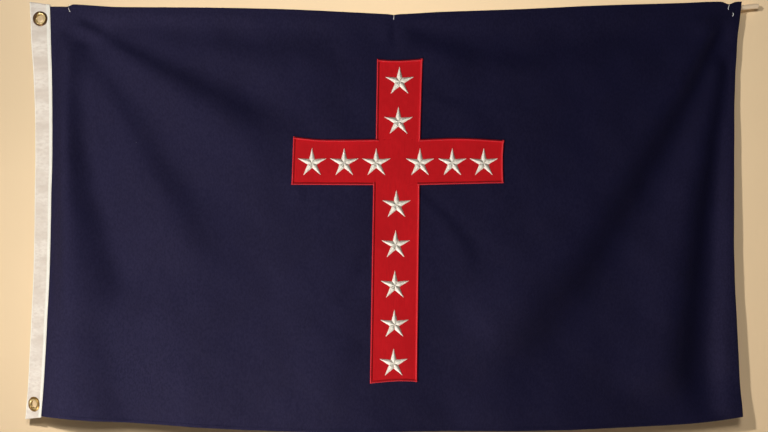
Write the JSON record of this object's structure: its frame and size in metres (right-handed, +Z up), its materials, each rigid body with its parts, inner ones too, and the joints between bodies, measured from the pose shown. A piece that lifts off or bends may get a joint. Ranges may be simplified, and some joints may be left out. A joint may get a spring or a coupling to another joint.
{
  "type": "flag hanging on a rod",
  "caption": "Rectangular navy cloth flag with a starred red cross and a canvas heading, safety-pinned by its top edge to a thin wood dowel that bows under it.",
  "frame": {"origin": "at the level of the rod's ends, midway between the two places that the rod hangs from", "axes": "+X along the rod from the hoist to the fly, +Y from the flag's face to its back, +Z up"},
  "size_m": [1.5898, 0.0319, 0.927],
  "materials": {
    "navy_cloth": "plain woven, faint sheen",
    "red_cloth": "plain woven, satin-stitched edge",
    "white_thread": "padded satin stitch",
    "canvas": "heavy plain canvas, slightly puckered",
    "brass": "polished, lightly worn",
    "wood": "unfinished pale wood",
    "steel": "bright wire"
  },
  "bodies": {
    "root": {"field": "navy_cloth", "heading": "canvas", "cross": "red_cloth", "star_01": "white_thread", "star_02": "white_thread", "star_03": "white_thread", "star_04": "white_thread", "star_05": "white_thread", "star_06": "white_thread", "star_07": "white_thread", "star_08": "white_thread", "star_09": "white_thread", "star_10": "white_thread", "star_11": "white_thread", "star_12": "white_thread", "star_13": "white_thread", "grommet_top": "brass", "grommet_bottom": "brass", "rod": "wood", "pin_left": "steel", "pin_centre": "steel", "pin_right": "steel"}
  },
  "joints": []
}
